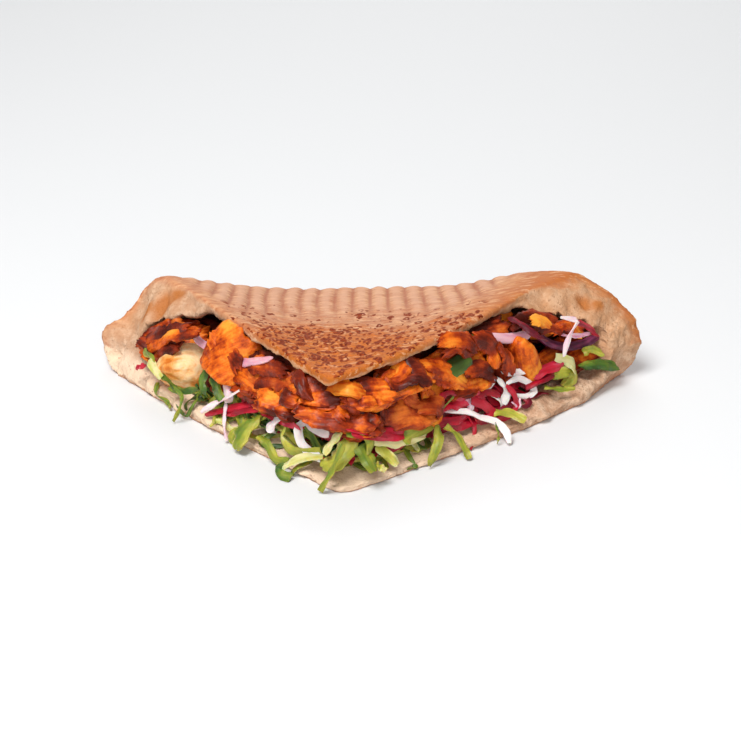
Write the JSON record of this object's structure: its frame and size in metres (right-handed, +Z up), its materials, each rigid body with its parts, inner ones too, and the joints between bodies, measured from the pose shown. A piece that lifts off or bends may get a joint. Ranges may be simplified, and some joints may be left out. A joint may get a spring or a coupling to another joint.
{
  "type": "doner kebab sandwich",
  "caption": "Quarter of a round flatbread, slit along its two cut edges and filled with shaved meat, onion, red and white cabbage and lettuce.",
  "frame": {"origin": "centre of the bounding box at the level the bread rests on", "axes": "+X along the sandwich's width, right as seen facing its corner; +Y from the cut corner to the baked hinge at the back; +Z up"},
  "size_m": [0.226, 0.1534, 0.0459],
  "materials": {
    "crust": "baked flatbread crust, toasted in small spots, with a paler crumb where it is cut",
    "meat_orange": "roasted meat, moist, with browned edges",
    "meat_brown": "dark roasted meat, moist",
    "chicken": "pale roasted chicken",
    "onion": "raw onion, pink and translucent",
    "red_onion": "purple onion skin",
    "green_pepper": "cooked green pepper",
    "lettuce": "lettuce, olive to yellow green",
    "pale_lettuce": "pale lettuce rib",
    "red_cabbage": "pickled red cabbage, crimson"
  },
  "bodies": {
    "root": {"bread": "crust", "meat_back_left": "meat_orange", "meat_dark_left": "meat_brown", "meat_lobe_left": "meat_orange", "meat_shred_left": "meat_brown", "meat_ragged_left": "meat_brown", "meat_slab_left": "meat_orange", "meat_front_left": "meat_orange", "meat_front_right": "meat_orange", "meat_front_low": "meat_orange", "meat_yellow_bit": "meat_orange", "meat_cluster": "meat_brown", "meat_arch": "meat_orange", "meat_ragged_right": "meat_orange", "meat_under_roof": "meat_brown", "meat_wedge_right": "meat_orange", "chicken_chunk": "chicken", "meat_finger": "meat_orange", "meat_finger_dark": "meat_brown", "meat_tan_bit": "chicken", "meat_brown_bit": "meat_brown", "onion_arc_left": "onion", "onion_sliver_left": "onion", "onion_ring_right": "onion", "onion_purple_right": "red_onion", "pepper_piece_low": "green_pepper", "pepper_piece_high": "green_pepper", "leaf_lobe_left": "lettuce", "leaf_wide_front": "lettuce", "leaf_pale_front": "pale_lettuce", "leaf_curl_right": "pale_lettuce", "leaf_dark_right": "lettuce", "meat_bed": "meat_brown", "cabbage_bed": "red_cabbage", "lettuce_bed": "lettuce"}
  },
  "joints": []
}
